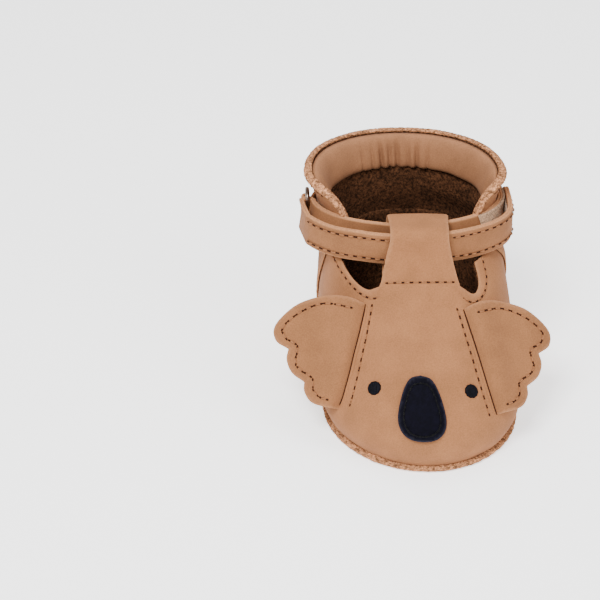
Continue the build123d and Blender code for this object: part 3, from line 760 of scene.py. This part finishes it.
jitter = np.array([chance.uniform(-SOLE_ROUGH, SOLE_ROUGH) for _ in range(2 * SOLE_POINTS)])
sole_edge = sole_outline(SOLE_REACH) + jitter.reshape(SOLE_POINTS, 2)
outsole = shell("outsole_suede", sole_edge, level_sheet(), 0.02, SOLE, [pale_suede], "suede", spacing=3.0,
                roll=0.2)
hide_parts("outsole")
inner_edge = sole_outline(-LEATHER - LINING - 0.6)
pad = shell("sole_padding_pad", inner_edge, level_sheet(), PADDING_LOW, PADDING_HIGH, [padding], "padding",
            spacing=3.0)
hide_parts("sole_padding")
insole = shell("insole_suede", inner_edge, level_sheet(0.15), INSOLE_LOW, INSOLE_HIGH, [suede], "suede",
               spacing=2.0)
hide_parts("insole")


# ---------- strap
STRAP_LOW, STRAP_HIGH, STRAP_HALF, STRAP_TIP = 56.0, 68.8, 1.0, 10.3
# plan curves: middle x, half width, y of the widest place, y of the front, reach to the rear
INNER_RUN, OUTER_RUN = (-1.8, 35.9, 25.0, 3.5, 31.0), (-2.0, 39.3, 17.0, -3.6, 90.0)
RING_X, RING_FRONT, RING_REAR = -39.7, 22.0, 28.8
RING_FOLD, TAB_FOLD = 2.3, 1.75  # radii of the strap and of the tab round the ring's bars
HOOK_HALF, HOOK_OUT, HOOK_INSET = 0.2, 1.25, 2
LOOP_HALF, LOOP_OUT = 0.35, 1.35
TAB_HALF, TAB_LOW, TAB_HIGH = 0.55, 58.2, 66.6
SIDE_WAVES, RISE_WAVES, RISE = (9.0, 2.0), (14.0, 6.0), 0.35  # unevenness of the strips, as (scale, seed)
SIDE_WOBBLE = 0.18


def on_run(run, angles, fullness=2.0):
    middle, half_width, widest, front, rear_reach = run
    c, s = np.cos(np.radians(angles)), np.sin(np.radians(angles))
    reach = np.where(s < 0, widest - front, rear_reach)
    x, y = middle + half_width * rounded(c, fullness), widest + reach * rounded(s, fullness)
    return np.stack([x, y], axis=1)


def plan_normals(path):
    ahead = unit(np.gradient(path, axis=0))
    return np.stack([-ahead[:, 1], ahead[:, 0]], axis=1)


def band_section(half, low, high):
    """Section of a strip of two layers back to back: (across, height, how far into the cut edge)."""
    h = np.linspace(low + 0.6, high - 0.6, 9)
    side = [(half, z, 0) for z in h]
    layer = [(half * 0.93, high - 0.22, 0.6), (half * 0.7, high, 1), (half * 0.35, high + 0.02, 1),
             (0.1, high - 0.1, 1)]
    cap = layer + [(0.0, high - 0.38, 0.7)] + [(-a, z, e) for a, z, e in reversed(layer)]
    upper = side + cap + [(-half, z, 0) for z in h[::-1]]
    lower = [(a, low + high - z, e) for a, z, e in reversed(cap)]
    return np.array(upper + lower)


def rise(points):
    """Slow upward unevenness of a strip and of the threads on it."""
    return np.c_[np.zeros((len(points), 2)), waves(points, *RISE_WAVES) * RISE]


def strip(name, low_path, high_path, half, low, high, materials, body="root", wobble=SIDE_WOBBLE,
          shift=0.0, round_tip=0.0, fuzz=0.0):
    """A strip standing on edge along a path that may differ between its low and its high edge.

    shift moves it sideways from the path, round_tip is the length over which its end is rounded, and fuzz
    roughens its faces.
    """
    section = band_section(half, low, high)
    total, stations = len(section), len(low_path)
    low_side, high_side = plan_normals(low_path), plan_normals(high_path)
    shrink = np.ones(stations)
    if round_tip:
        travel = travelled(high_path)
        near = np.clip(1 - (travel[-1] - travel) / round_tip, 0, 1)
        shrink = np.sqrt(np.clip(1 - (near * 0.86) ** 2.6, 0.02, 1))
    middle = (low + high) / 2
    rows = []
    for k in range(stations):
        z = middle + (section[:, 1] - middle) * shrink[k]
        f = ((z - low) / (high - low))[:, None]
        base = low_path[k] * (1 - f) + high_path[k] * f
        side = unit(low_side[k] * (1 - f) + high_side[k] * f)
        rows.append(np.c_[base + side * (section[:, 0:1] + shift), z])
    points, edge = np.vstack(rows), np.tile(section[:, 2], stations)
    outward = np.vstack([np.c_[unit(low_side[k] + high_side[k])[None].repeat(total, 0), np.zeros(total)]
                         for k in range(stations)])
    points = points + outward * (waves(points, *SIDE_WAVES) * wobble)[:, None]
    points = points + rise(points)
    if fuzz:
        rough = np.array([chance.uniform(-1, 1) for _ in range(len(points))])
        points = points + outward * (rough * fuzz)[:, None]
    edge[:total] = edge[-total:] = 1
    return add_piece(name, points, swept_faces(stations, total), materials, body, edge=edge)


def strap_path(fullness):
    """Plan of the strap's fixed stretch: inner run, fold round the ring, outer run to beneath the tongue."""
    inner = on_run(INNER_RUN, np.arange(16, -172, -4), fullness)
    turn = np.linspace(0, math.pi, 9)
    fold = np.stack([RING_X + RING_FOLD * np.cos(turn), RING_FRONT + RING_FOLD * np.sin(turn)], axis=1)
    outer = on_run(OUTER_RUN, np.arange(-165, -73, 4))
    return curve(np.vstack([inner, fold, outer]), 300)


FULL, ROUND = 4.0, 2.0  # the inner run's fullness at its low and its high edge
strap = strip("strap_leather", strap_path(FULL), strap_path(ROUND), STRAP_HALF, STRAP_LOW, STRAP_HIGH,
              [darker_nubuck])
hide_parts("strap", "strap_backing")
tip_path = curve(on_run(OUTER_RUN, np.linspace(-76, STRAP_TIP, 60)), 140)
strap_end = strip("strap_end_leather", tip_path, tip_path, STRAP_HALF, STRAP_LOW, STRAP_HIGH, [darker_nubuck],
                  body=None, round_tip=5.0)
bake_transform(strap_end)
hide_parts("strap_end", "strap_end_backing")
hook_path = curve(on_run(OUTER_RUN, np.arange(-30, 10, 3)), 120)
hook = strip("hook_tape", hook_path, hook_path, HOOK_HALF, STRAP_LOW + HOOK_INSET, STRAP_HIGH - HOOK_INSET,
             [tape], body="strap_end", shift=HOOK_OUT, fuzz=0.08, wobble=0)
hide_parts("hook_patch")
loop_angles = np.arange(12, -46, -3)
loop_low, loop_high = (curve(on_run(INNER_RUN, loop_angles, full), 170) for full in (FULL, ROUND))
loop = strip("loop_tape", loop_low, loop_high, LOOP_HALF, STRAP_LOW, STRAP_HIGH, [tape],
             shift=LOOP_OUT, fuzz=0.16, wobble=0)
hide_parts("loop_patch")

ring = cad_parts["ring"]
ring.data.materials.clear()
ring.data.materials.append(pewter)
for face in ring.data.polygons:
    face.use_smooth = True
turn = np.radians(np.arange(20, 300, 14))
eyelet = np.stack([RING_X + TAB_FOLD * np.cos(turn), RING_REAR - TAB_FOLD * np.sin(turn)], axis=1)[::-1]
tab_spots = on_last(np.arange(155.0, 133.0, -7.0), (TAB_LOW + TAB_HIGH) / 2, LEATHER + 1.35)[0][:, :2]
tab_path = curve(np.vstack([eyelet, tab_spots]), 90)
tab = strip("ring_tab_leather", tab_path, tab_path, TAB_HALF, TAB_LOW, TAB_HIGH, [nubuck],
            wobble=0.05)
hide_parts("ring_tab")


# ---------- ears
SLIT_TOP, SLIT_BOTTOM = (18.0, 46.2), (29.0, 15.7)  # (x from the face's middle, z)
EAR_TURN = {-1: 4.0, 1: -2.0}  # degrees that each ear stands off the vamp
# the ear's outline and its row of thread, as (distance down the slit, reach away from it)
EAR_LOBES = (
    ((0.0, -0.4), (-1.0, 7), (0.8, 16), (6.6, 26), (15.6, 32), (21.2, 30.4), (23.2, 24.6)),
    ((23.2, 24.6), (27.4, 24.2), (31.4, 21), (33.6, 15.2)),
    ((33.6, 15.2), (37.4, 14), (40.6, 9.6), (40.4, -0.4)),
)
EAR_ROW = (
    (2.4, 4.0), (3.4, 15), (8.6, 23.4), (15.6, 28.6), (19.4, 26.8), (21.4, 21.6), (27.2, 20.6), (29.6, 18.0),
    (31.4, 12.6), (35.6, 10.8), (37.6, 7.6), (37.8, 4),
)
EAR_LEATHER, SLIT_POINTS = 0.9, 70


def slit_line(side, count=41):
    """Points and normals down an ear's slit."""
    t = np.linspace(0, 1, count)
    x = side * (SLIT_TOP[0] + (SLIT_BOTTOM[0] - SLIT_TOP[0]) * t)
    z = SLIT_TOP[1] + (SLIT_BOTTOM[1] - SLIT_TOP[1]) * t
    return on_last(front_angle(x + FACE_SHIFT, z), z)


def on_ear(side):
    """place() for one ear: down the slit, outwards, and height towards the front."""
    line, normals = slit_line(side)
    top, down = line[0], unit(line[-1] - line[0])
    length = np.linalg.norm(line[-1] - line[0])
    level = unit(np.array([-down[1] * side, down[0] * side, 0]))
    facing = unit(np.cross(down, level)) * side
    turn = math.radians(EAR_TURN[side])
    reach = level * math.cos(turn) + facing * math.sin(turn)
    facing = unit(np.cross(down, reach)) * side
    bow = line - (top + down * np.linspace(0, 1, len(line))[:, None] * length)

    def place(points, out):
        d, r = points[:, 0], points[:, 1]
        share = np.clip(d / length, 0, 1) * (len(line) - 1)
        lift = read_off(share, np.arange(len(line)), bow)
        fade = np.exp(-np.clip(r, 0, None) / 9)[:, None]
        tucked = 2.2 * np.exp(-(np.clip(r, 0, None) / 1.7) ** 2)  # the root goes down into the slit
        curl = -0.0024 * r**2 + 0.9 * np.exp(-((r - 5) / 5) ** 2) - tucked
        curl = curl + waves(np.stack([d, r, 0 * d], axis=1), 12.0, side * 5.0) * 0.9 * smooth(r / 12)
        spots = top + down * d[:, None] + reach * r[:, None] + lift * fade
        return spots + facing * (curl + np.broadcast_to(out, r.shape) + 0.55)[:, None]

    return place, top, reach, facing


for side, name in ((1, "left_ear"), (-1, "right_ear")):
    place, top, reach, facing = on_ear(side)
    outline = closed_outline(*EAR_LOBES, [EAR_LOBES[-1][-1], EAR_LOBES[0][0]], spacing=0.8)
    for layer, low, high, node in (("leather", 0.02, EAR_LEATHER, name),
                                   ("backing_leather", -EAR_LEATHER, -0.02, name + "_backing")):
        piece = shell(f"{name}_{layer}", outline, place, low, high, [darker_nubuck], "nubuck", spacing=1.1,
                      body=None)
        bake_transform(piece)
        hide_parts(node)
    row = curve(EAR_ROW, 160)
    path = place(row, EAR_LEATHER + 0.02)
    threads = stitches(f"{name}_thread", [(path, np.tile(facing, (len(path), 1)))], body=None, pitch=3.9)
    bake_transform(threads)
    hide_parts(name + "_stitches")
    # down each slit, a thin dark tube of painted shade in the gap where the ear's root goes in, then a lip of
    # nubuck beside it
    line, normals = (v[:SLIT_POINTS] for v in slit_line(side, SLIT_POINTS + (3 if side > 0 else 0)))
    line = soften(line, normals)
    taper = np.sin(np.linspace(0.08, math.pi - 0.08, SLIT_POINTS)) ** 0.3
    points, faces = tube(line + normals * 0.02, 0.42 * taper, 8)
    add_piece(f"{name}_slit", points, faces, [painted_hole_shade])
    inwards = unit(np.cross(np.gradient(line, axis=0), normals)) * side
    inwards = inwards * np.sign(-side * inwards[:, 0:1])
    points, faces = tube(line + inwards * 0.75 - normals * 0.12, 0.62 * taper, 10)
    add_piece(f"{name}_slit_lip", points, faces, [nubuck])

# ---------- nose and eyes
NOSE = ((0, 31.7), (3.5, 30.9), (5.8, 28.4), (7.5, 24.6), (8.5, 20.8), (8.1, 18.1), (6.4, 16.0), (3.5, 14.8),
        (0, 14.5))  # one half, as (x from the face's middle, z)
NOSE_THICK, NOSE_DOME, NOSE_MIDDLE = 1.35, 0.5, 22.6
EYE_RADIUS, EYE_HEIGHT, EYE_Z, EYE_SIDES, EYE_RINGS = 2.7, 0.75, 26.6, 40, 9


def on_nose(points, out):
    """Points on the nose, which swells a little over its middle."""
    x, z = points[:, 0], points[:, 1]
    dome = np.clip(1 - (x / 8.6) ** 2 - ((z - 22.5) / 10.4) ** 2, 0, 1) ** 0.5
    spots, normals = face_spots(points)
    return spots + normals * (np.broadcast_to(out, x.shape) + dome * NOSE_DOME)[:, None]


nose_side = curve(NOSE, 60)
nose_other = nose_side[::-1] * (-1, 1)
nose_outline = closed_outline(nose_side, nose_other, spacing=0.7)
nose = shell("nose_leather", nose_outline, on_nose, 0.02, NOSE_THICK, [dark_leather], "dark_leather",
             spacing=0.9, roll=0.3)
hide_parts("nose")
inset = np.vstack([nose_side, nose_other]) - (0, NOSE_MIDDLE)
inset = inset * (0.76, 0.8) + (0, NOSE_MIDDLE)
path = on_nose(inset, NOSE_THICK + 0.02)
nose_thread = stitches("nose_thread", [(path, face_spots(inset)[1])], pitch=2.3, length=1.6,
                       looks=[thread_dark, thread_dark], radius=0.26)
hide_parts("nose_stitches")

eye_faces = [(0, 1 + j, 1 + (j + 1) % EYE_SIDES) for j in range(EYE_SIDES)]
for first in range(1, (EYE_RINGS - 1) * EYE_SIDES, EYE_SIDES):
    for j in range(EYE_SIDES):
        after = (j + 1) % EYE_SIDES
        eye_faces.append((first + j, first + EYE_SIDES + j, first + EYE_SIDES + after, first + after))
eye_faces.append(tuple(1 + (EYE_RINGS - 1) * EYE_SIDES + j for j in range(EYE_SIDES)))
for x, name in ((18.8, "left_eye"), (-16.7, "right_eye")):
    centre, normal = (v[0] for v in face_spots([(x, EYE_Z)]))
    level = unit(np.cross((0, 0, 1), normal))
    steep = np.cross(normal, level)
    turn = np.linspace(0, 2 * math.pi, EYE_SIDES, endpoint=False)
    rings = [centre + normal * EYE_HEIGHT]
    for share in np.linspace(0.12, 1, EYE_RINGS):
        radius = EYE_RADIUS * share * (1 + 0.03 * np.sin(turn * 11) * share)
        height = EYE_HEIGHT * math.sqrt(max(0.0, 1 - share**2.6)) - 0.12 * (share > 0.99)
        ribs = 0.06 * np.cos(np.sin(turn) * share * 22)
        rings.extend(centre + level * (np.cos(turn) * radius)[:, None]
                     + steep * (np.sin(turn) * radius)[:, None]
                     + normal * (height + ribs * (1 - share**6))[:, None])
    eye = add_piece(name + "_embroidery", np.array(rings), eye_faces, [embroidery])
    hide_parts(name)

# ---------- stitch rows
INSET, NOTCH_INSET = 2.8, 2.9
slit_rows, notch_rows = [], []
for side in (-1, 1):
    run = curve([(side * (SLIT_TOP[0] - INSET + 0.4), SLIT_TOP[1] + 0.6),
                 (side * (SLIT_BOTTOM[0] - INSET - 0.6), SLIT_BOTTOM[1] + 2.4)], 80)
    slit_rows.append(face_spots(run))
    around = curve(NOTCH[side], 60) * (side, 1)
    ahead = unit(np.gradient(around, axis=0))
    away = np.stack([ahead[:, 1], -ahead[:, 0]], axis=1) * -side
    notch_rows.append(face_spots(around + away * (NOTCH_INSET, 0.62 * NOTCH_INSET), shift=0.0))
piece = stitches("slit_thread", slit_rows, pitch=3.4)
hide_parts("slit_stitches")
piece = stitches("notch_thread", notch_rows, pitch=3.2)
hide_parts("notch_stitches")

# across the tongue's root, just above where it leaves the last
row = flat(front_angle(np.linspace(-12.6, 12.6, 40), TONGUE_START), TONGUE_START + 4)
path = on_vamp(row, 0.02)
piece = stitches("tongue_thread", [(path, unit(path - on_vamp(row, -1.0)))], pitch=3.0)
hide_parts("tongue_stitches")


def strap_row(angles, height):
    """Points and normals just off the strap's outer face, at rising angles."""
    path = on_run(OUTER_RUN, angles)
    outward = -plan_normals(path)
    spots = np.c_[path + outward * (STRAP_HALF + 0.2), np.full(len(path), height)]
    normals = np.c_[outward, np.zeros(len(path))]
    return spots + normals * (waves(spots, *SIDE_WAVES) * SIDE_WOBBLE)[:, None] + rise(spots), normals


STRAP_INSET, COLLAR_ROW = 2.1, 74.4
edges = (STRAP_LOW + STRAP_INSET, STRAP_HIGH - STRAP_INSET)
piece = stitches("strap_thread", [strap_row(np.linspace(-160, -80, 90), z) for z in edges], pitch=3.5)
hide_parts("strap_stitches")
tip_rows = [strap_row(np.linspace(-66, 7, 90), z) for z in edges]
end_path, end_normals = strap_row(np.array([6.9, 7.0]), sum(edges) / 2)
across_tip = np.c_[np.tile(end_path[0][:2], (20, 1)), np.linspace(*edges, 20)]
tip_rows.append((across_tip, np.tile(end_normals[0], (20, 1))))
piece = stitches("strap_end_thread", tip_rows, body=None, pitch=3.5)
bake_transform(piece)
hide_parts("strap_end_stitches")
angles = np.linspace(-26, 206, 240)
path, normals = on_last(angles, COLLAR_ROW, LEATHER + 0.02)
piece = stitches("collar_thread", [(soften(path, normals), normals)], pitch=3.5)
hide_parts("collar_stitches")

# ---------- floor and light
bpy.ops.mesh.primitive_plane_add(size=60)
floor = bpy.context.object
floor.name = "floor"
floor_paint = bpy.data.materials.new("floor_paint")
floor_paint.use_nodes = True
paint = floor_paint.node_tree.nodes["Principled BSDF"].inputs
paint["Base Color"].default_value = (0.93, 0.93, 0.93, 1)
paint["Roughness"].default_value = 1.0
paint["Emission Color"].default_value = (1, 1, 1, 1)
paint["Emission Strength"].default_value = 1.2
floor.data.materials.append(floor_paint)

world = bpy.data.worlds.new("studio")
bpy.context.scene.world = world
world.use_nodes = True
world.node_tree.nodes["Background"].inputs["Color"].default_value = (1, 1, 1, 1)
world.node_tree.nodes["Background"].inputs["Strength"].default_value = 0.66


def soft_light(name, place, size, power):
    lamp = bpy.data.lights.new(name, "AREA")
    lamp.size, lamp.energy = size, power
    holder = bpy.data.objects.new(name, lamp)
    holder.location = place
    holder.rotation_euler = (Vector((0, 0, 0.03)) - Vector(place)).to_track_quat("-Z", "Y").to_euler()
    bpy.context.scene.collection.objects.link(holder)


soft_light("key", (-0.25, -0.42, 0.80), 0.35, 12.0)
soft_light("fill", (0.6, -0.35, 0.5), 0.5, 3.0)
soft_light("top", (0.0, 0.35, 0.9), 0.6, 4.0)
